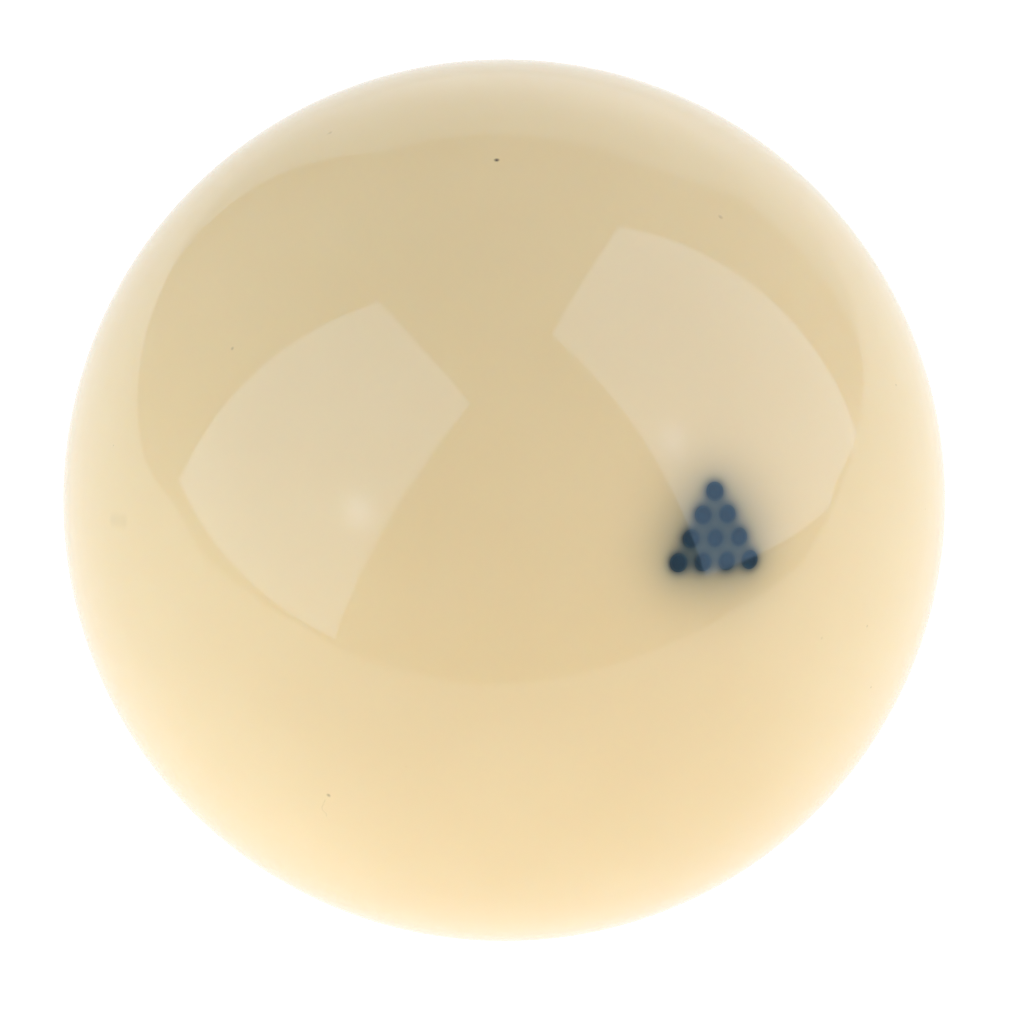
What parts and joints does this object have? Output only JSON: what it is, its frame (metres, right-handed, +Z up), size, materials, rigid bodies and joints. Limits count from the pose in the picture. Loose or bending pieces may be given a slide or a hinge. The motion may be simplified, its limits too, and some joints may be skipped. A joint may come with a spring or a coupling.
{
  "type": "cue ball",
  "caption": "Solid cream resin ball for pool, with a small triangle of blue resin dots inlaid flush in its polished surface.",
  "frame": {"origin": "centre of the ball", "axes": "+Z up from the cloth through the centre, -Y towards the front of the ball, +X to its right; the mark faces front, right and up"},
  "size_m": [0.0572, 0.0572, 0.0572],
  "materials": {
    "cream_resin": "cast phenolic resin, ground and polished, slightly translucent cream",
    "blue_resin": "cast dark blue resin, ground and polished flush with the ball"
  },
  "bodies": {
    "root": {"ball_body": "cream_resin", "mark_pin_1": "blue_resin", "mark_pin_2": "blue_resin", "mark_pin_3": "blue_resin", "mark_pin_4": "blue_resin", "mark_pin_5": "blue_resin", "mark_pin_6": "blue_resin", "mark_pin_7": "blue_resin", "mark_pin_8": "blue_resin", "mark_pin_9": "blue_resin", "mark_pin_10": "blue_resin"}
  },
  "joints": []
}
